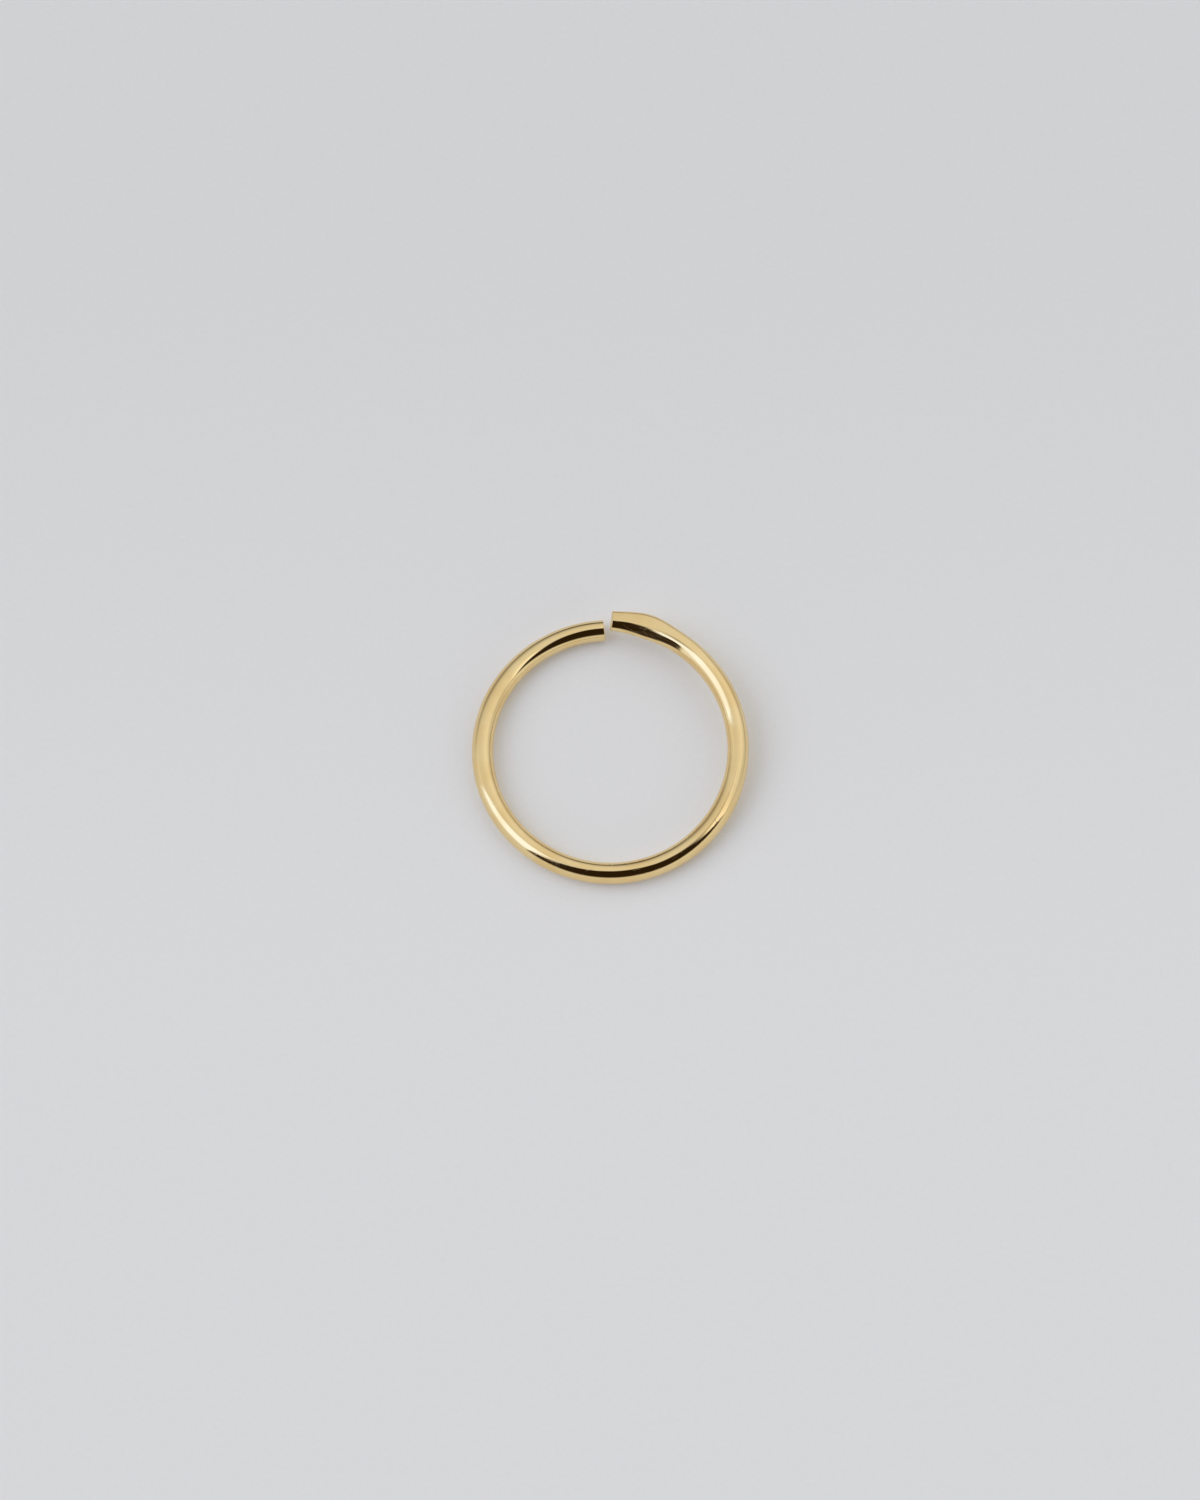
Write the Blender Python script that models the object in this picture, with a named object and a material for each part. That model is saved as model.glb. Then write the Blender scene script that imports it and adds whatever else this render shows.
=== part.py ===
"""Open hoop earring: one length of round gold wire bent into a ring, lying on its side.

Metres, +Z up. The origin is the hoop's centre, on the surface that it lies on. The gap is on the +Y side.
Seen from above, the wire runs anticlockwise from its low end, on the left of the gap, right round to its
raised end. Most of the ring lies flat. Its last part springs up, as in a hoop that has been twisted open, and
runs a little wide of the circle. Near the raised end the wire is pressed oval, with a shallow flat on top and
another on the inner side, where pliers gripped it.
"""

import math

import bmesh
import bpy
from mathutils import Vector

# Hoop
WIRE_DIAMETER = 0.00100
OUTER_DIAMETER = 0.01290
GAP_WIDTH = 0.00034
GAP_ANGLE = math.radians(91.1)
LIFT_START = math.radians(290.0)
END_LIFT = 0.00077
LIFT_EASE = 0.3
SPREAD_START = math.radians(375.0)
END_SPREAD = 0.00020
LOW_CUT_SLANT = math.radians(3.0)
RAISED_CUT_SLANT = math.radians(6.0)
END_ROUNDING = 0.00003

# Marks that the pliers left on the raised end, with distances counted back from its cut face
GRIP_LENGTH = 0.0017
GRIP_FADE = 0.0026
GRIP_SQUASH = 0.00018
GRIP_TILT = math.radians(-6.0)
BULGE_PLACE = 0.0017
BULGE_REACH = 0.00100
BULGE_WIDTH = 0.00025
BULGE_SHIFT = 0.00005
TIP_NARROWING = 0.00005
TIP_REACH = 0.0009
TOP_FLAT_LENGTH = 0.0034
TOP_FLAT_FADE = 0.0020
TOP_FLAT_DEPTH = 0.000048
TOP_FLAT_LEAN = math.radians(16.0)
INNER_FLAT_LENGTH = 0.0031
INNER_FLAT_FADE = 0.0018
INNER_FLAT_DEPTH = 0.000022
INNER_FLAT_LEAN = math.radians(-37.0)

# Fineness of the faceted solid
WIRE_SIDES = 24
WIRE_SPANS = 120
ROUNDING_STEPS = 2
SHARP_ANGLE = math.radians(40.0)
RIM_ANGLE = math.radians(60.0)

WIRE_RADIUS = WIRE_DIAMETER / 2
HOOP_RADIUS = (OUTER_DIAMETER - WIRE_DIAMETER) / 2
HALF_GAP = GAP_WIDTH / 2 / HOOP_RADIUS
LOW_END = GAP_ANGLE + HALF_GAP
RAISED_END = GAP_ANGLE - HALF_GAP + 2 * math.pi
CORNER_REACH = 1 / math.cos(math.pi / WIRE_SIDES)


def smooth_step(share):
    """Goes from 0 to 1 as share does, level at both ends."""
    share = min(max(share, 0.0), 1.0)
    return share * share * (3 - 2 * share)


def wire_frame(angle):
    """The wire's centre at this angle round the hoop, with the directions out from the hoop, on and up."""
    risen = max(angle - LIFT_START, 0.0) / (RAISED_END - LIFT_START)
    eased = risen**2 + LIFT_EASE * (1 - risen)
    lift = END_LIFT * risen**2 / eased
    climb = END_LIFT * LIFT_EASE * risen * (2 - risen) / eased**2 / (RAISED_END - LIFT_START)
    spread = max(angle - SPREAD_START, 0.0) / (RAISED_END - SPREAD_START)
    reach = HOOP_RADIUS + END_SPREAD * spread**2
    drift = END_SPREAD * 2 * spread / (RAISED_END - SPREAD_START)
    radial = Vector((math.cos(angle), math.sin(angle), 0))
    tangent = Vector((-math.sin(angle), math.cos(angle), 0))
    onward = (tangent * reach + radial * drift + Vector((0, 0, climb))).normalized()
    upward = radial.cross(onward).normalized()
    centre = radial * reach + Vector((0, 0, WIRE_RADIUS + lift))
    return centre, onward.cross(upward), onward, upward


def flattened(out, up, half_width, half_height, lean, depth):
    """How far a corner is drawn in where a flat this deep is pressed on the oval, square to a leaning line."""
    oval_lean = lean + GRIP_TILT
    round_height = math.hypot(half_width * math.sin(oval_lean), half_height * math.cos(oval_lean))
    toward_flat = out * math.sin(lean) + up * math.cos(lean)
    if depth == 0.0 or toward_flat <= 0.0:
        return 1.0
    return min(1.0, (round_height * CORNER_REACH - depth) / toward_flat)


def section_corner(turn, from_cut):
    """One corner of the wire's section, this far back from the raised end's cut face, as distances outward and
    upward from the wire's centre."""
    gripped = 1 - smooth_step((from_cut - GRIP_LENGTH) / GRIP_FADE)
    bulged = math.exp(-(((from_cut - BULGE_PLACE) / BULGE_REACH) ** 2))
    narrowed = math.exp(-((from_cut / TIP_REACH) ** 2))
    half_width = WIRE_RADIUS + BULGE_WIDTH / 2 * bulged - TIP_NARROWING / 2 * narrowed
    half_height = WIRE_RADIUS - GRIP_SQUASH / 2 * gripped
    wide = half_width * math.cos(turn - GRIP_TILT) * CORNER_REACH
    high = half_height * math.sin(turn - GRIP_TILT) * CORNER_REACH
    out = wide * math.cos(GRIP_TILT) - high * math.sin(GRIP_TILT)
    up = wide * math.sin(GRIP_TILT) + high * math.cos(GRIP_TILT)
    top_depth = TOP_FLAT_DEPTH * (1 - smooth_step((from_cut - TOP_FLAT_LENGTH) / TOP_FLAT_FADE))
    inner_depth = INNER_FLAT_DEPTH * (1 - smooth_step((from_cut - INNER_FLAT_LENGTH) / INNER_FLAT_FADE))
    kept_top = flattened(out, up, half_width, half_height, TOP_FLAT_LEAN, top_depth)
    kept_inner = flattened(out, up, half_width, half_height, INNER_FLAT_LEAN, inner_depth)
    kept = min(kept_top, kept_inner)
    return out * kept + BULGE_SHIFT * bulged, up * kept


def section_points(angle):
    """The section's corners at this angle. Its sides touch the true outline, and one side lies underneath."""
    centre, outward, onward, upward = wire_frame(angle)
    from_cut = (RAISED_END - angle) * HOOP_RADIUS
    points = []
    for side in range(WIRE_SIDES):
        turn = (side + 0.5) * 2 * math.pi / WIRE_SIDES
        out, up = section_corner(turn, from_cut)
        slanted = 0.0
        if angle == LOW_END:
            slanted = out * math.tan(LOW_CUT_SLANT)
        if angle == RAISED_END:
            slanted = -up * math.tan(RAISED_CUT_SLANT)
        points.append(centre + outward * out + onward * slanted + upward * up)
    return points


def hoop_mesh():
    """The wire as one closed mesh: a ring of corners at each step round the hoop, joined up, with flat cut ends."""
    mesh = bpy.data.meshes.new("hoop_wire")
    shape = bmesh.new()
    rings = []
    for step in range(WIRE_SPANS + 1):
        angle = RAISED_END if step == WIRE_SPANS else LOW_END + (RAISED_END - LOW_END) * step / WIRE_SPANS
        rings.append([shape.verts.new(point) for point in section_points(angle)])
    for near, far in zip(rings, rings[1:]):
        for side in range(WIRE_SIDES):
            following = (side + 1) % WIRE_SIDES
            shape.faces.new((near[side], near[following], far[following], far[side]))
    shape.faces.new(rings[0])
    shape.faces.new(rings[-1])
    bmesh.ops.recalc_face_normals(shape, faces=shape.faces)
    shape.to_mesh(mesh)
    shape.free()
    mesh.shade_smooth()
    mesh.set_sharp_from_angle(angle=SHARP_ANGLE)
    return mesh


def gold():
    """Polished yellow gold."""
    material = bpy.data.materials.new("polished_gold")
    material.use_nodes = True
    surface = material.node_tree.nodes["Principled BSDF"]
    surface.inputs["Base Color"].default_value = (0.90, 0.68, 0.30, 1)
    surface.inputs["Metallic"].default_value = 1.0
    surface.inputs["Roughness"].default_value = 0.12
    return material


def make_hoop():
    """The hoop, with the rim of each cut end softened."""
    mesh = hoop_mesh()
    mesh.materials.append(gold())
    hoop = bpy.data.objects.new("hoop_wire", mesh)
    bpy.context.scene.collection.objects.link(hoop)
    rounding = hoop.modifiers.new("rim_rounding", "BEVEL")
    rounding.width = END_ROUNDING
    rounding.segments = ROUNDING_STEPS
    rounding.limit_method = "ANGLE"
    rounding.angle_limit = RIM_ANGLE
    return hoop


for leftover in list(bpy.data.objects):
    bpy.data.objects.remove(leftover)
make_hoop()
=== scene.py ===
import math

import bmesh
import bpy
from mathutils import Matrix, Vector


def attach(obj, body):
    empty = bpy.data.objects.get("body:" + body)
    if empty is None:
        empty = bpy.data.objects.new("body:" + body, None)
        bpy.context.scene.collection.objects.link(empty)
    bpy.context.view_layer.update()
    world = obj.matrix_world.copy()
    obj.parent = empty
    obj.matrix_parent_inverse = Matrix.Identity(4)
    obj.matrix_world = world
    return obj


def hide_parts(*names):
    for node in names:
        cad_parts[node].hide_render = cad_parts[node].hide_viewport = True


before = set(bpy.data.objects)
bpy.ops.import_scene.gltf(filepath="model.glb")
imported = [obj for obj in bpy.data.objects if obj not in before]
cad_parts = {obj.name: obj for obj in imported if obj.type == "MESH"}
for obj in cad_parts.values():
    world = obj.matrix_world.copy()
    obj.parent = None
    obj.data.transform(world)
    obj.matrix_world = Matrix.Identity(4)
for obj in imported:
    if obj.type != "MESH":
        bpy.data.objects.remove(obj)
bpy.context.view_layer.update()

# Camera
# It looks down steeply on the hoop through a long lens, with the gap at the top of the picture. Its place
# follows from where the hoop's centre is in the picture, and from how many pixels a metre takes there.
CAMERA_ELEVATION = math.radians(72.0)
LENS_MM = 100.0
SENSOR_MM = 36.0
NEAREST_SEEN = 0.01
FURTHEST_SEEN = 10.0
PHOTO_WIDTH = 1200
PHOTO_HEIGHT = 1500
PIXELS_PER_METRE = 21450
HOOP_CENTRE_PIXEL = (610.2, 750.8)
HOOP_MIDDLE_HEIGHT = 0.0005

line_of_sight = Vector((0, math.cos(CAMERA_ELEVATION), -math.sin(CAMERA_ELEVATION)))
picture_right = Vector((1, 0, 0))
picture_up = picture_right.cross(line_of_sight)
camera_distance = PHOTO_HEIGHT / PIXELS_PER_METRE * LENS_MM / SENSOR_MM
aim_right = (PHOTO_WIDTH / 2 - HOOP_CENTRE_PIXEL[0]) / PIXELS_PER_METRE
aim_up = (HOOP_CENTRE_PIXEL[1] - PHOTO_HEIGHT / 2) / PIXELS_PER_METRE
aim = Vector((0, 0, HOOP_MIDDLE_HEIGHT)) + picture_right * aim_right + picture_up * aim_up
camera = bpy.data.objects.new("camera", bpy.data.cameras.new("camera"))
camera.data.lens = LENS_MM
camera.data.sensor_width = SENSOR_MM
camera.data.clip_start = NEAREST_SEEN
camera.data.clip_end = FURTHEST_SEEN
camera.location = aim - line_of_sight * camera_distance
camera.rotation_euler = line_of_sight.to_track_quat("-Z", "Y").to_euler()
bpy.context.scene.collection.objects.link(camera)
bpy.context.scene.camera = camera

# Hoop wire
# One length of drawn gold wire, bent round a mandrel into a ring and cut straight across at both ends. Its
# last part springs up and runs a little wide. Pliers have pressed the raised end oval and left two long
# flats on it, on top and on its inner side. Geometry Nodes work out the section at every step.
HOOP_SIZES = {
    "Wire Radius": 0.00050,
    "Outer Radius": 0.00645,
    "Gap Width": 0.00034,
    "Gap Angle": math.radians(91.1),
    "Lift Start": math.radians(290.0),
    "End Lift": 0.00077,
    "Lift Ease": 0.3,
    "Spread Start": math.radians(375.0),
    "End Spread": 0.00020,
    "Low Cut Slant": math.radians(3.0),
    "Raised Cut Slant": math.radians(6.0),
    "Grip Length": 0.0017,
    "Grip Fade": 0.0026,
    "Grip Squash": 0.00018,
    "Grip Tilt": math.radians(-6.0),
    "Bulge Place": 0.0017,
    "Bulge Reach": 0.00100,
    "Bulge Width": 0.00025,
    "Bulge Shift": 0.00005,
    "Tip Narrowing": 0.00005,
    "Tip Reach": 0.0009,
    "Top Flat Length": 0.0034,
    "Top Flat Fade": 0.0020,
    "Top Flat Depth": 0.000048,
    "Top Flat Lean": math.radians(16.0),
    "Inner Flat Length": 0.0031,
    "Inner Flat Fade": 0.0018,
    "Inner Flat Depth": 0.000022,
    "Inner Flat Lean": math.radians(-37.0),
}
HOOP_RADIUS = HOOP_SIZES["Outer Radius"] - HOOP_SIZES["Wire Radius"]
FLAT_EDGE_SOFTNESS = 0.005
LEAST_REACH = 0.00001
SAME_ANGLE = 0.0001
STAND_IN_RADIUS = 0.1
WIRE_SPANS = 620
WIRE_SIDES = 84
SIDE_CORNERS = 4
END_ROUNDING = 0.00003
ROUNDING_STEPS = 3
RIM_ANGLE = math.radians(60.0)
NUMBER = "NodeSocketFloat"
COUNT = "NodeSocketInt"
VECTOR = "NodeSocketVector"
COLOUR = "NodeSocketColor"
METAL = "NodeSocketMaterial"
SHAPE = "NodeSocketGeometry"


class Formula:
    """A number in a node tree. Sums written with it become Math nodes."""

    def __init__(self, tree, source):
        self.tree = tree
        self.source = source

    def math(self, operation, *others):
        node = self.tree.nodes.new("ShaderNodeMath")
        node.operation = operation
        for place, value in enumerate((self, *others)):
            join(self.tree, node.inputs[place], value)
        return Formula(self.tree, node.outputs[0])

    def __add__(self, other):
        return self.math("ADD", other)

    def __radd__(self, other):
        return self.math("ADD", other)

    def __sub__(self, other):
        return self.math("SUBTRACT", other)

    def __rsub__(self, other):
        return Formula(self.tree, other).math("SUBTRACT", self)

    def __mul__(self, other):
        return self.math("MULTIPLY", other)

    def __rmul__(self, other):
        return self.math("MULTIPLY", other)

    def __truediv__(self, other):
        return self.math("DIVIDE", other)


def join(tree, socket, value):
    """Joins a socket to a formula or another socket, or gives it a plain value."""
    value = value.source if isinstance(value, Formula) else value
    if isinstance(value, bpy.types.NodeSocket):
        tree.links.new(value, socket)
    else:
        socket.default_value = value


def add(tree, kind, inputs=None, **settings):
    """Adds a node to a tree, sets it up and joins its inputs, which are given by name or by place."""
    node = tree.nodes.new(kind)
    for name, value in settings.items():
        setattr(node, name, value)
    for key, value in (inputs or {}).items():
        join(tree, node.inputs[key], value)
    return node


def node_group(name, kind, inputs, outputs):
    """A node group with these named sockets, and what its inputs give."""
    tree = bpy.data.node_groups.new(name, kind)
    for label, socket in inputs.items():
        tree.interface.new_socket(label, in_out="INPUT", socket_type=socket)
    for label, socket in outputs.items():
        tree.interface.new_socket(label, in_out="OUTPUT", socket_type=socket)
    return tree, tree.nodes.new("NodeGroupInput").outputs


def vector(tree, x, y, z):
    """A vector from three numbers."""
    return add(tree, "ShaderNodeCombineXYZ", {0: x, 1: y, 2: z}).outputs[0]


def vector_math(tree, operation, *inputs):
    """One Vector Math node. A scale has its factor last."""
    places = (0, "Scale") if operation == "SCALE" else range(len(inputs))
    return add(tree, "ShaderNodeVectorMath", dict(zip(places, inputs)), operation=operation).outputs[0]


def fall(value, start, end):
    """Goes smoothly from 1 at the start to 0 at the end of a stretch, and stays level outside it."""
    settings = {"Value": value, "From Min": start, "From Max": end, "To Min": 1.0, "To Max": 0.0}
    node = add(value.tree, "ShaderNodeMapRange", settings, interpolation_type="SMOOTHSTEP")
    return Formula(value.tree, node.outputs[0])


def hump(value):
    """1 where the value is nothing, fading away to either side as a bell curve does."""
    return (value * value * -1.0).math("EXPONENT")


def stored(tree, geometry, name, value, kind="FLOAT"):
    """The geometry with a value written on each of its points."""
    node = add(tree, "GeometryNodeStoreNamedAttribute", {"Geometry": geometry}, data_type=kind)
    node.inputs["Name"].default_value = name
    join(tree, node.inputs["Value"], value)
    return node.outputs[0]


def read_back(tree, name):
    """A number that was written on each point."""
    node = add(tree, "GeometryNodeInputNamedAttribute", {"Name": name}, data_type="FLOAT")
    return Formula(tree, node.outputs[0])


def straight_sweep(tree, asked, low_end, raised_end):
    """A straight tube that stands for the wire. Each point on it knows its angle round the hoop and its turn
    round the section. The tube's own sizes don't matter, because each point is then given its place."""
    line = add(tree, "GeometryNodeCurvePrimitiveLine").outputs[0]
    line = add(tree, "GeometryNodeResampleCurve", {"Curve": line, "Count": asked["Spans"]}).outputs[0]
    share_along = Formula(tree, add(tree, "GeometryNodeSplineParameter").outputs["Factor"])
    line = stored(tree, line, "hoop_angle", low_end + (raised_end - low_end) * share_along)
    circle_inputs = {"Resolution": asked["Sides"], "Radius": STAND_IN_RADIUS}
    circle = add(tree, "GeometryNodeCurvePrimitiveCircle", circle_inputs).outputs[0]
    share_round = Formula(tree, add(tree, "GeometryNodeSplineParameter").outputs["Factor"])
    circle = stored(tree, circle, "section_turn", share_round * (2 * math.pi))
    sweep = {"Curve": line, "Profile Curve": circle, "Fill Caps": True}
    return add(tree, "GeometryNodeCurveToMesh", sweep).outputs[0]


def centre_line(tree, size, angle, hoop_radius, raised_end):
    """The wire's centre at each angle round the hoop, with the directions outward, onward and upward. It
    springs up over the wire's last part, and then runs wide of the circle."""
    sprung = raised_end - size["Lift Start"]
    risen = (angle - size["Lift Start"]).math("MAXIMUM", 0.0) / sprung
    eased = risen * risen + size["Lift Ease"] * (1.0 - risen)
    lift = size["End Lift"] * risen * risen / eased
    climb = size["End Lift"] * size["Lift Ease"] * risen * (2.0 - risen) / (eased * eased * sprung)
    spreading = raised_end - size["Spread Start"]
    spread = (angle - size["Spread Start"]).math("MAXIMUM", 0.0) / spreading
    reach = hoop_radius + size["End Spread"] * spread * spread
    drift = size["End Spread"] * 2.0 * spread / spreading
    radial = vector(tree, angle.math("COSINE"), angle.math("SINE"), 0.0)
    along_x = drift * angle.math("COSINE") - reach * angle.math("SINE")
    along_y = drift * angle.math("SINE") + reach * angle.math("COSINE")
    onward = vector_math(tree, "NORMALIZE", vector(tree, along_x, along_y, climb))
    upward = vector_math(tree, "NORMALIZE", vector_math(tree, "CROSS_PRODUCT", radial, onward))
    outward = vector_math(tree, "CROSS_PRODUCT", onward, upward)
    centre = vector_math(tree, "SCALE", radial, reach)
    centre = vector_math(tree, "ADD", centre, vector(tree, 0.0, 0.0, size["Wire Radius"] + lift))
    return centre, outward, onward, upward


def pressed_section(size, turn, from_cut):
    """How far out and up from the wire's centre each point lies: on a circle, but on an oval where the wire
    was gripped, and drawn in where its two flats are pressed."""
    gripped = fall(from_cut, size["Grip Length"], size["Grip Length"] + size["Grip Fade"])
    bulged = hump((from_cut - size["Bulge Place"]) / size["Bulge Reach"])
    narrowed = hump(from_cut / size["Tip Reach"])
    tilt = size["Grip Tilt"]
    half_bulge = size["Bulge Width"] * 0.5 * bulged
    half_narrowing = size["Tip Narrowing"] * 0.5 * narrowed
    half_width = size["Wire Radius"] + half_bulge - half_narrowing
    half_height = size["Wire Radius"] - size["Grip Squash"] * 0.5 * gripped
    wide = half_width * (turn - tilt).math("COSINE")
    high = half_height * (turn - tilt).math("SINE")
    out = wide * tilt.math("COSINE") - high * tilt.math("SINE")
    up = wide * tilt.math("SINE") + high * tilt.math("COSINE")
    kept = 1.0
    for flat in ("Top Flat", "Inner Flat"):
        lean = size[flat + " Lean"]
        pressed = fall(from_cut, size[flat + " Length"], size[flat + " Length"] + size[flat + " Fade"])
        oval_wide = half_width * (lean + tilt).math("SINE")
        oval_high = half_height * (lean + tilt).math("COSINE")
        round_height = (oval_wide * oval_wide + oval_high * oval_high).math("SQRT")
        toward_flat = out * lean.math("SINE") + up * lean.math("COSINE")
        flat_height = round_height - size[flat + " Depth"] * pressed
        drawn_in = flat_height / toward_flat.math("MAXIMUM", LEAST_REACH)
        kept = drawn_in.math("SMOOTH_MIN", kept, FLAT_EDGE_SOFTNESS)
    return out * kept + size["Bulge Shift"] * bulged, up * kept


def with_metals(tree, wire, asked):
    """The wire with polished metal round it and cut metal on its two ends, the only faces of many corners."""
    corners = add(tree, "GeometryNodeInputMeshFaceNeighbors").outputs["Vertex Count"]
    compared = {2: corners, 3: SIDE_CORNERS}
    is_cut = add(tree, "FunctionNodeCompare", compared, data_type="INT", operation="GREATER_THAN").outputs[0]
    wire = add(tree, "GeometryNodeRealizeInstances", {"Geometry": wire}).outputs[0]
    polished = {"Geometry": wire, "Material": asked["Polished Metal"]}
    wire = add(tree, "GeometryNodeSetMaterial", polished).outputs[0]
    cut = {"Geometry": wire, "Selection": is_cut, "Material": asked["Cut Metal"]}
    return add(tree, "GeometryNodeSetMaterial", cut).outputs[0]


def wire_tree():
    """Geometry Nodes that sweep the wire's section round the hoop."""
    inputs = {name: NUMBER for name in HOOP_SIZES}
    inputs.update({"Spans": COUNT, "Sides": COUNT, "Polished Metal": METAL, "Cut Metal": METAL})
    tree, asked = node_group("bent_wire", "GeometryNodeTree", inputs, {"Wire": SHAPE})
    size = {name: Formula(tree, asked[name]) for name in HOOP_SIZES}
    hoop_radius = size["Outer Radius"] - size["Wire Radius"]
    half_gap = size["Gap Width"] / hoop_radius * 0.5
    low_end = size["Gap Angle"] + half_gap
    raised_end = size["Gap Angle"] - half_gap + 2 * math.pi

    wire = straight_sweep(tree, asked, low_end, raised_end)
    angle = read_back(tree, "hoop_angle")
    turn = read_back(tree, "section_turn")
    centre, outward, onward, upward = centre_line(tree, size, angle, hoop_radius, raised_end)
    out, up = pressed_section(size, turn, (raised_end - angle) * hoop_radius)
    at_low_end = angle.math("COMPARE", low_end, SAME_ANGLE)
    at_raised_end = angle.math("COMPARE", raised_end, SAME_ANGLE)
    low_slant = out * size["Low Cut Slant"].math("TANGENT") * at_low_end
    raised_slant = up * size["Raised Cut Slant"].math("TANGENT") * at_raised_end
    place = centre
    for direction, distance in ((outward, out), (onward, low_slant - raised_slant), (upward, up)):
        place = vector_math(tree, "ADD", place, vector_math(tree, "SCALE", direction, distance))
    wire = add(tree, "GeometryNodeSetPosition", {"Geometry": wire, "Position": place}).outputs[0]

    # Each point also keeps its place on the straight wire, before bending, for the marks that run along it
    across = size["Wire Radius"] * turn.math("COSINE")
    above = size["Wire Radius"] * turn.math("SINE")
    straight = vector(tree, across, above, (angle - low_end) * hoop_radius)
    wire = stored(tree, wire, "straight_wire", straight, kind="FLOAT_VECTOR")
    add(tree, "NodeGroupOutput", {"Wire": with_metals(tree, wire, asked)})
    return tree


def socket_id(tree, name):
    """The identifier by which a modifier knows one of the tree's inputs."""
    return next(item.identifier for item in tree.interface.items_tree if item.name == name)


def plain_mesh(shape, name):
    """The object's evaluated shape as a new object with a plain mesh and no modifiers."""
    graph = bpy.context.evaluated_depsgraph_get()
    evaluated = shape.evaluated_get(graph)
    mesh = bpy.data.meshes.new_from_object(evaluated, preserve_all_data_layers=True, depsgraph=graph)
    mesh.name = name
    bpy.data.objects.remove(shape)
    made = bpy.data.objects.new(name, mesh)
    bpy.context.scene.collection.objects.link(made)
    return made


# The gold's finish. Lengths here are in mm on the straight wire, and turns round it are in radians.
MM_PER_METRE = 1000.0
WIRE_LENGTH_MM = (2 * math.pi * HOOP_RADIUS - HOOP_SIZES["Gap Width"]) * MM_PER_METRE
GRIP_MARKS_MM = HOOP_SIZES["Grip Length"] * MM_PER_METRE
GRIP_MARKS_FADE_MM = HOOP_SIZES["Grip Fade"] * MM_PER_METRE
RUBBED_PLACE_MM = 16.0
RUBBED_REACH_MM = 1.1
CREASE_TURN = math.radians(98.0)
CREASE_HALF_TURN = 0.09
CREASE_PLACE_MM = 3.3
CREASE_REACH_MM = 0.9
# Painted shade: how much the gold's colour is darkened along the creased line
CREASE_PAINTED_SHADE = 0.45
SCRATCH_LEAN = 0.25
HAZES_PER_MM = 1.3
CUT_HAZES_PER_MM = 5.0
WAVES_PER_MM = 0.45
NOISE_MIDDLE = 0.5
TONE_RANGE = (0.32, 0.68)
BRIGHT_GOLD = (0.93, 0.725, 0.38, 1)
DEEP_GOLD = (0.89, 0.65, 0.305, 1)
CUT_GOLD = (0.92, 0.72, 0.40, 1)
POLISHED_TONE = {"Bright Gold": BRIGHT_GOLD, "Deep Gold": DEEP_GOLD, "Drifts per mm": 0.55}
CUT_TONE = {"Bright Gold": BRIGHT_GOLD, "Deep Gold": CUT_GOLD, "Drifts per mm": 2.4}
DRAW_LINES = {"Lines per mm": 9.0, "Stretch": 40.0, "Line Share": 0.02}
SCRATCHES = {"Lines per mm": 1.4, "Stretch": 9.0, "Line Share": 0.004}
JAW_STREAKS = {"Lines per mm": 6.0, "Stretch": 18.0, "Line Share": 0.07}
BLADE_LINES = {"Lines per mm": 14.0, "Stretch": 8.0, "Line Share": 0.12}
ROUGHNESS = {
    "Polish": 0.028,
    "Haze": 0.02,
    "Draw Line": 0.03,
    "Scratch": 0.06,
    "Streaked": 0.008,
    "Jaw Streak": 0.12,
    "Cut": 0.20,
    "Blade Line": 0.14,
    "Cut Haze": 0.06,
}
HEIGHT_MM = {
    "Wave": 0.014,
    "Drawn Grain": 0.0003,
    "Scratch": -0.0005,
    "Jaw Grain": 0.0046,
    "Crease": -0.005,
    "Blade Grain": 0.004,
    "Blade Line": -0.002,
}


def noise(tree, place, scale, detail=2.0):
    """A soft random number from 0 to 1 at each place."""
    settings = {"Vector": place, "Scale": scale, "Detail": detail}
    return Formula(tree, add(tree, "ShaderNodeTexNoise", settings).outputs[0])


def contour(grain, share):
    """1 along the lines where a random number passes its middle, fading to 0 this far from it."""
    return fall((grain - NOISE_MIDDLE).math("ABSOLUTE"), 0.0, share)


def parts_of(tree, place):
    """The three numbers of a vector."""
    return [Formula(tree, part) for part in add(tree, "ShaderNodeSeparateXYZ", {0: place}).outputs]


def gold_tone():
    """A group: gold whose colour drifts a little, as it does where the alloy was worked and handled."""
    inputs = {"Place": VECTOR, "Bright Gold": COLOUR, "Deep Gold": COLOUR, "Drifts per mm": NUMBER}
    tree, asked = node_group("gold_tone", "ShaderNodeTree", inputs, {"Color": COLOUR})
    drift = 1.0 - fall(noise(tree, asked["Place"], asked["Drifts per mm"], detail=3.0), *TONE_RANGE)

    # A Mix node has its sockets once for each kind of value, so its colours are told by place
    mixed = {0: drift, 6: asked["Bright Gold"], 7: asked["Deep Gold"]}
    blend = add(tree, "ShaderNodeMix", mixed, data_type="RGBA").outputs[2]
    add(tree, "NodeGroupOutput", {"Color": blend})
    return tree


def hairlines():
    """A group: fine marks that run along Z. The grain is a stretched noise, and a line is a contour of it."""
    inputs = {"Place": VECTOR, "Lines per mm": NUMBER, "Stretch": NUMBER, "Line Share": NUMBER}
    outputs = {"Grain": NUMBER, "Line": NUMBER}
    tree, asked = node_group("hairlines", "ShaderNodeTree", inputs, outputs)
    across, above, along = parts_of(tree, asked["Place"])
    squeezed = vector(tree, across, above, along / asked["Stretch"])
    grain = noise(tree, squeezed, asked["Lines per mm"])
    add(tree, "NodeGroupOutput", {"Grain": grain, "Line": contour(grain, asked["Line Share"])})
    return tree


def toned(tree, place, tone):
    """The gold tone group, placed in a material with its own values."""
    return add(tree, "ShaderNodeGroup", {"Place": place, **tone}, node_tree=tone_group).outputs["Color"]


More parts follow.
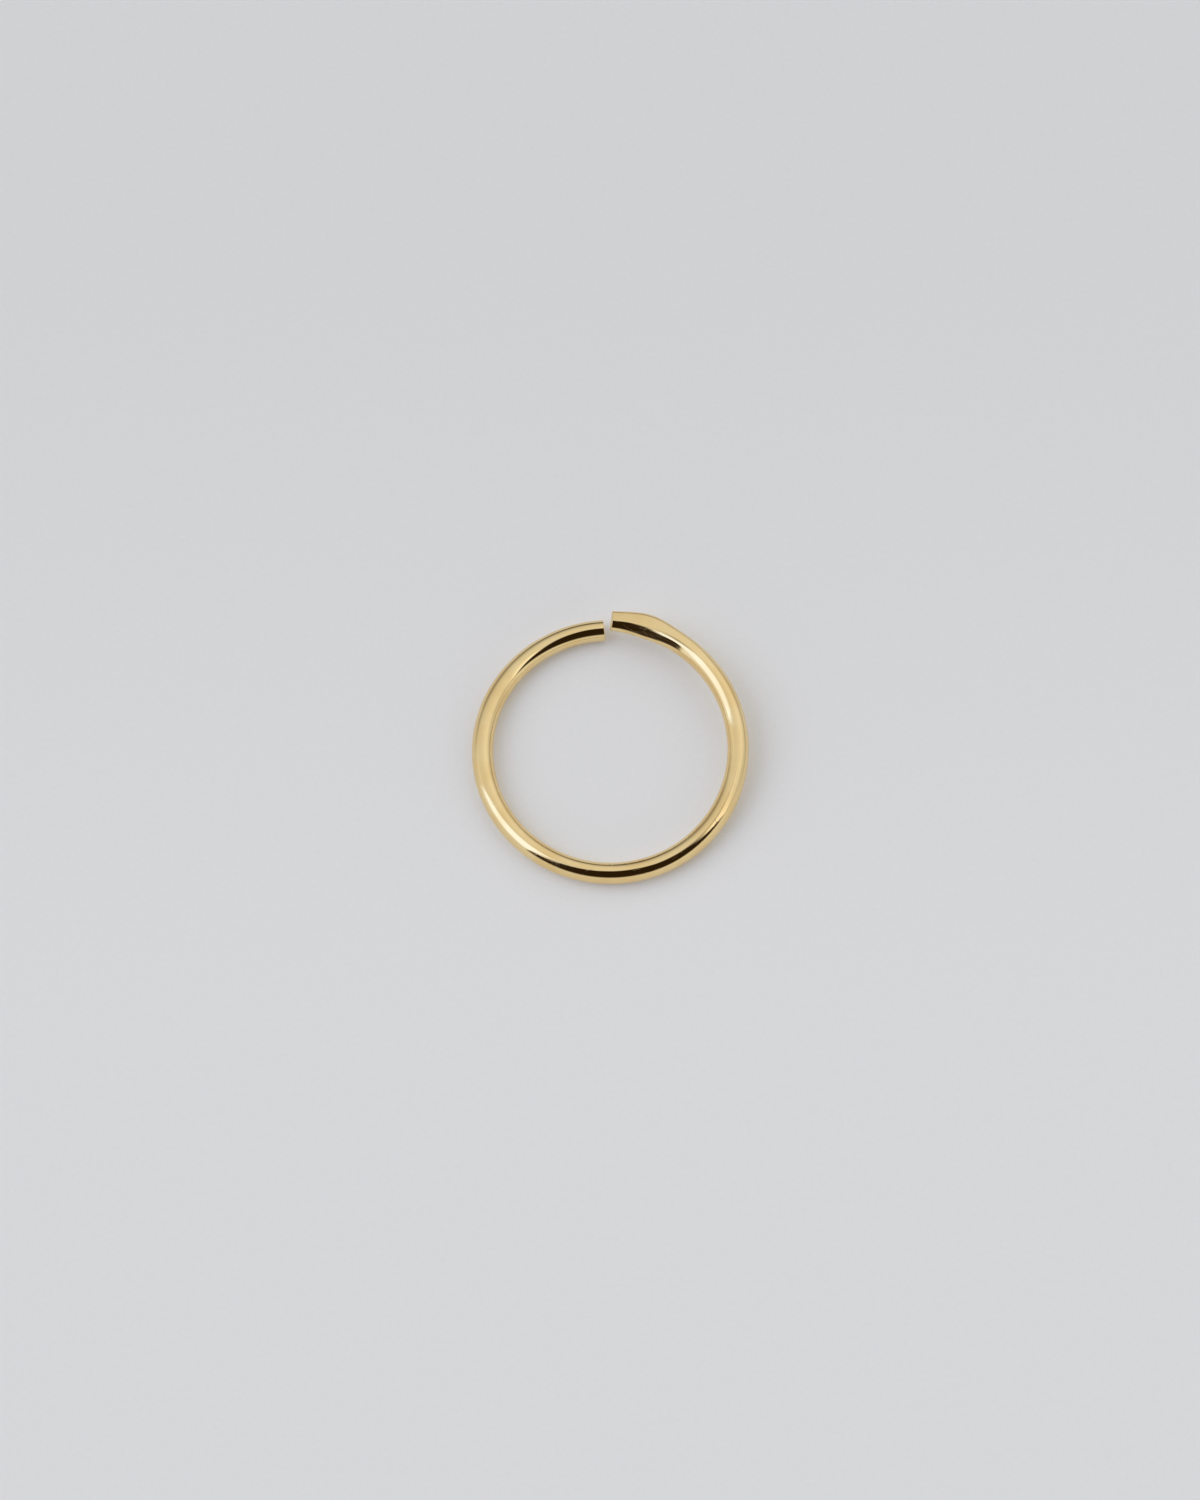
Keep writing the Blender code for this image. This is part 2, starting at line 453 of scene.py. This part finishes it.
def lined(tree, place, lines):
    """The grain and the lines of the hairlines group, placed in a material with its own values."""
    marks = add(tree, "ShaderNodeGroup", {"Place": place, **lines}, node_tree=line_group).outputs
    return Formula(tree, marks["Grain"]), Formula(tree, marks["Line"])


def turned(tree, place, angle):
    """The place as seen from axes turned about X, so that the lines slant across the wire."""
    turn = {"Vector": place, "Angle": angle}
    return add(tree, "ShaderNodeVectorRotate", turn, rotation_type="X_AXIS").outputs[0]


def new_gold(name):
    """A bare metal material, with each point's place on the straight wire in mm."""
    material = bpy.data.materials.new(name)
    material.use_nodes = True
    tree = material.node_tree
    tree.nodes["Principled BSDF"].inputs["Metallic"].default_value = 1.0
    place = add(tree, "ShaderNodeAttribute", attribute_name="straight_wire").outputs["Vector"]
    return material, tree, vector_math(tree, "SCALE", place, MM_PER_METRE)


def finish_gold(tree, colour, roughness, height):
    """Joins the finish to the metal."""
    surface = tree.nodes["Principled BSDF"]
    bump = add(tree, "ShaderNodeBump", {"Height": height, "Strength": 1.0, "Distance": 1.0 / MM_PER_METRE})
    join(tree, surface.inputs["Base Color"], colour)
    join(tree, surface.inputs["Roughness"], roughness)
    join(tree, surface.inputs["Normal"], bump.outputs[0])


def polished_gold_material():
    """Drawn and polished wire: faint draw lines, soft waves left by bending and a few scratches. Pliers
    dragged along the raised end and left streaks and a creased line there, darkened in colour as painted
    shade. A patch opposite the gap is rubbed."""
    material, tree, place = new_gold("polished_gold")
    across, above, along = parts_of(tree, place)
    from_cut = WIRE_LENGTH_MM - along
    gripped = fall(from_cut, GRIP_MARKS_MM, GRIP_MARKS_MM + GRIP_MARKS_FADE_MM)
    rubbed = hump((along - RUBBED_PLACE_MM) / RUBBED_REACH_MM)
    streaked = gripped.math("MAXIMUM", rubbed)
    crease_and_painted_shade = hump((above.math("ARCTAN2", across) - CREASE_TURN) / CREASE_HALF_TURN)
    crease_and_painted_shade = crease_and_painted_shade * hump((from_cut - CREASE_PLACE_MM) / CREASE_REACH_MM)
    drawn_grain, draw_line = lined(tree, place, DRAW_LINES)
    scratch = lined(tree, turned(tree, place, SCRATCH_LEAN), SCRATCHES)[1]
    jaw_grain, jaw_streak = lined(tree, place, JAW_STREAKS)

    # The creased line's colour is darkened as painted shade; its groove in the height below is real
    colour = vector_math(tree, "SCALE", toned(tree, place, POLISHED_TONE), 1.0 - CREASE_PAINTED_SHADE * crease_and_painted_shade)
    roughness = ROUGHNESS["Polish"] + ROUGHNESS["Haze"] * noise(tree, place, HAZES_PER_MM)
    roughness = roughness + ROUGHNESS["Draw Line"] * draw_line + ROUGHNESS["Scratch"] * scratch
    roughness = roughness + streaked * (ROUGHNESS["Streaked"] + ROUGHNESS["Jaw Streak"] * jaw_streak)
    height = HEIGHT_MM["Wave"] * noise(tree, place, WAVES_PER_MM, detail=1.0)
    height = height + HEIGHT_MM["Drawn Grain"] * drawn_grain + HEIGHT_MM["Scratch"] * scratch
    height = height + HEIGHT_MM["Jaw Grain"] * streaked * jaw_grain + HEIGHT_MM["Crease"] * crease_and_painted_shade
    finish_gold(tree, colour, roughness, height)
    return material


def cut_gold_material():
    """The ends as the cutter left them: duller, with fine lines where its blade went through."""
    material, tree, place = new_gold("cut_gold")
    blade_grain, blade_line = lined(tree, turned(tree, place, math.pi / 2), BLADE_LINES)
    roughness = ROUGHNESS["Cut"] + ROUGHNESS["Blade Line"] * blade_line
    roughness = roughness + ROUGHNESS["Cut Haze"] * noise(tree, place, CUT_HAZES_PER_MM)
    height = HEIGHT_MM["Blade Grain"] * blade_grain + HEIGHT_MM["Blade Line"] * blade_line
    finish_gold(tree, toned(tree, place, CUT_TONE), roughness, height)
    return material


tone_group = gold_tone()
line_group = hairlines()
bent_wire = wire_tree()
wire_inputs = {**HOOP_SIZES, "Spans": WIRE_SPANS, "Sides": WIRE_SIDES}
wire_inputs["Polished Metal"] = polished_gold_material()
wire_inputs["Cut Metal"] = cut_gold_material()
wire = bpy.data.objects.new("wire_shape", bpy.data.meshes.new("wire_shape"))
bpy.context.scene.collection.objects.link(wire)
bending = wire.modifiers.new("bending", "NODES")
bending.node_group = bent_wire
for name, value in wire_inputs.items():
    bending[socket_id(bent_wire, name)] = value
rounding = wire.modifiers.new("rim_rounding", "BEVEL")
rounding.width = END_ROUNDING
rounding.segments = ROUNDING_STEPS
rounding.limit_method = "ANGLE"
rounding.angle_limit = RIM_ANGLE
wire = plain_mesh(wire, "gold_hoop")
wire.data.shade_smooth()
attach(wire, "root")
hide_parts("hoop_wire")

# Floor
# A plain pale board of fine paper, on which the hoop lies. It glows a little as painted light, which softens
# its shadows, and its colour and glow are darker towards the back as painted shade.
FLOOR_SIZE = 0.6
BOARD_COLOUR = (0.80, 0.787, 0.758)
# Painted light: the board's own glow, which softens the shadows on it
BOARD_PAINTED_GLOW = 0.13
BOARD_ROUGHNESS = 0.9
BOARD_SHINE = 0.2
# Painted shade: the board's colour and glow are darkened towards the back
BACK_PAINTED_SHADE = 0.94
SHADE_NEAR = -0.015
SHADE_FAR = 0.030
GRAINS_PER_METRE = 5200.0
GRAIN_TONE = 0.05
GRAIN_HEIGHT = 0.00001
GRAIN_BUMP = 0.3
FIBRES_PER_METRE = GRAINS_PER_METRE / 6
FIBRE_SHARE = 0.006
FIBRE_TONE = -0.012


def colour_of(tree, parts):
    """A colour from its red, green and blue."""
    return add(tree, "ShaderNodeCombineColor", dict(enumerate(parts))).outputs[0]


def pale_board():
    """Smooth paper: a faint grain and a few darker fibres."""
    material = bpy.data.materials.new("pale_board")
    material.use_nodes = True
    tree = material.node_tree
    place = add(tree, "ShaderNodeTexCoord").outputs["Object"]
    ahead = parts_of(tree, place)[1]
    grain = noise(tree, place, GRAINS_PER_METRE, detail=3.0)
    fibre = contour(noise(tree, place, FIBRES_PER_METRE), FIBRE_SHARE)
    # The back of the board is darkened as painted shade; the grain and the fibres are its own tone
    shade = BACK_PAINTED_SHADE + (1.0 - BACK_PAINTED_SHADE) * fall(ahead, SHADE_NEAR, SHADE_FAR)
    shade = shade * (1.0 + GRAIN_TONE * (grain - NOISE_MIDDLE) + FIBRE_TONE * fibre)
    surface = tree.nodes["Principled BSDF"]
    join(tree, surface.inputs["Base Color"], colour_of(tree, [shade * part for part in BOARD_COLOUR]))
    # The board glows as painted light, darker towards the back
    join(tree, surface.inputs["Emission Color"], colour_of(tree, [shade] * 3))
    surface.inputs["Emission Strength"].default_value = BOARD_PAINTED_GLOW
    surface.inputs["Roughness"].default_value = BOARD_ROUGHNESS
    surface.inputs["Specular IOR Level"].default_value = BOARD_SHINE
    bump = add(tree, "ShaderNodeBump", {"Height": grain, "Strength": GRAIN_BUMP, "Distance": GRAIN_HEIGHT})
    join(tree, surface.inputs["Normal"], bump.outputs[0])
    return material


floor_mesh = bpy.data.meshes.new("floor")
shape = bmesh.new()
bmesh.ops.create_grid(shape, x_segments=1, y_segments=1, size=FLOOR_SIZE / 2)
shape.to_mesh(floor_mesh)
shape.free()
floor = bpy.data.objects.new("floor", floor_mesh)
bpy.context.scene.collection.objects.link(floor)
floor_mesh.materials.append(pale_board())

# Studio light
# A white light tent with an open front, behind the camera. The opening reflects as a dark shape with a soft
# lamp on its left and a narrow slit of light along its right edge. The walls behind the hoop darken towards
# the floor. A broad lamp outside the tent, on the left, lights the board through the wall.
WALL_LIGHT = 0.72
OPENING_LIGHT = (0.024, 0.014, 0.006)
LAMP_LIGHT = (0.38, 0.58, 1.12)
LAMP_FOOT_SHARE = 0.25
SLIT_LIGHT = 0.35
LEAST_HEIGHT = 0.02
LEAST_LEVEL = 0.01

# Each edge of the opening bends once: it is the further ahead of two lines, given by their slope and start
LEFT_EDGE = ((0.78, -0.06), (1.22, 0.12))
RIGHT_EDGE = ((-0.92, 0.165), (-0.33, -0.065))

# From where to where each dark or light shape fades in, at each of its borders
OPENING_FADES = {"Edge": (-0.04, 0.06), "Foot": (0.28, 0.56), "Right End": (1.65, 0.85)}
LAMP_FADES = {"Edge": (0.0, -0.08), "Foot": (0.30, 0.62), "Right End": (0.0, -0.14)}
LAMP_FADES.update({"Back": (0.14, 0.0), "Front": (-1.5, -0.5)})
SLIT_FADES = {"Edge": (-0.04, 0.03), "Back": (0.24, 0.04), "Left End": (0.15, 0.3), "Right End": (1.25, 0.9)}

# Bearings are in degrees anticlockwise from the right, seen from above
WALL_SHADES = (
    {"Light": -0.37, "Bearing": 112.0, "Sides": (0.45, 0.95), "Foot": (0.62, 0.22)},
    {"Light": -0.25, "Bearing": 55.0, "Sides": (0.2, 0.8), "Foot": (0.42, 0.12)},
)
CEILING_PATCHES = (
    {"Light": 0.17, "Right": 0.75, "Ahead": 0.55, "Reach": 0.8},
    {"Light": -0.18, "Right": 1.9, "Ahead": -0.2, "Reach": 0.6},
    {"Light": -0.21, "Right": -1.1, "Ahead": 1.5, "Reach": 0.8},
    {"Light": 0.10, "Right": -1.6, "Ahead": 0.35, "Reach": 0.7},
    {"Light": 0.13, "Right": 2.1, "Ahead": -1.1, "Reach": 0.6},
)
OUTER_LAMP_POWER = 0.50
OUTER_LAMP_SPREAD = math.radians(45.0)
OUTER_LAMP_BEARING = math.radians(166.0)
OUTER_LAMP_HEIGHT = math.radians(42.0)


def ramp(value, start, end):
    """Goes smoothly from 0 at the start to 1 at the end, and stays level outside them."""
    if start > end:
        return fall(value, end, start)
    return 1.0 - fall(value, start, end)


def wall_light(x, y, z, right, ahead):
    """The light of the walls and the ceiling, without the opening, the lamp and the slit."""
    level = (x * x + y * y).math("SQRT").math("MAXIMUM", LEAST_LEVEL)
    walls = WALL_LIGHT
    for shade in WALL_SHADES:
        bearing = math.radians(shade["Bearing"])
        toward = (x * math.cos(bearing) + y * math.sin(bearing)) / level
        walls = walls + shade["Light"] * ramp(toward, *shade["Sides"]) * ramp(z, *shade["Foot"])
    for patch in CEILING_PATCHES:
        across = hump((right - patch["Right"]) / patch["Reach"])
        along = hump((ahead - patch["Ahead"]) / patch["Reach"])
        walls = walls + patch["Light"] * across * along
    return walls


def tent_tree(world):
    """The light that comes from each direction. Ahead is +Y, and a direction is told by where it meets a
    flat ceiling one metre up: this many metres to the right of the hoop, and this many ahead of it."""
    tree = world.node_tree
    tree.nodes.clear()
    x, y, z = parts_of(tree, add(tree, "ShaderNodeTexCoord").outputs["Generated"])
    height = z.math("MAXIMUM", LEAST_HEIGHT)
    right = x / height
    ahead = y / height

    # The opening ends a little above the floor
    edges = []
    for lines in (LEFT_EDGE, RIGHT_EDGE):
        first, second = [right * slope + start for slope, start in lines]
        edges.append(first.math("MAXIMUM", second))
    left_edge, right_edge = edges
    edge = left_edge.math("MINIMUM", right_edge)
    opening = ramp(edge - ahead, *OPENING_FADES["Edge"]) * ramp(z, *OPENING_FADES["Foot"])
    opening = opening * ramp(right, *OPENING_FADES["Right End"])

    # The lamp fills the space between the opening's left edge and a line straight out to the left
    lamp = ramp(ahead, *LAMP_FADES["Back"]) * ramp(edge - ahead, *LAMP_FADES["Edge"])
    lamp = lamp * ramp(right, *LAMP_FADES["Right End"]) * ramp(ahead, *LAMP_FADES["Front"])
    lamp = lamp * (LAMP_FOOT_SHARE + (1.0 - LAMP_FOOT_SHARE) * ramp(z, *LAMP_FADES["Foot"]))
    past_edge = ahead - right_edge
    slit = ramp(past_edge, *SLIT_FADES["Back"]) * ramp(past_edge, *SLIT_FADES["Edge"])
    slit = slit * ramp(right, *SLIT_FADES["Left End"]) * ramp(right, *SLIT_FADES["Right End"])

    walls = wall_light(x, y, z, right, ahead)
    colour = []
    for lamp_part, opening_part in zip(LAMP_LIGHT, OPENING_LIGHT):
        lit = walls + lamp * lamp_part + slit * SLIT_LIGHT
        colour.append(lit + (opening_part - lit) * opening)
    background = add(tree, "ShaderNodeBackground", {"Color": colour_of(tree, colour), "Strength": 1.0})
    add(tree, "ShaderNodeOutputWorld", {"Surface": background.outputs[0]})


tent = bpy.data.worlds.new("light_tent")
bpy.context.scene.world = tent
tent.use_nodes = True
tent_tree(tent)

# The outer lamp's shadows fall to the right. It doesn't show in the gold, because the wall before it does.
outer_light = bpy.data.lights.new("outer_lamp", "SUN")
outer_light.energy = OUTER_LAMP_POWER
outer_light.angle = OUTER_LAMP_SPREAD
outer_lamp = bpy.data.objects.new("outer_lamp", outer_light)
toward_lamp = (math.cos(OUTER_LAMP_BEARING), math.sin(OUTER_LAMP_BEARING), math.tan(OUTER_LAMP_HEIGHT))
outer_lamp.rotation_euler = Vector(toward_lamp).to_track_quat("Z", "Y").to_euler()
outer_lamp.visible_glossy = False
bpy.context.scene.collection.objects.link(outer_lamp)
bpy.context.scene.view_settings.view_transform = "Standard"
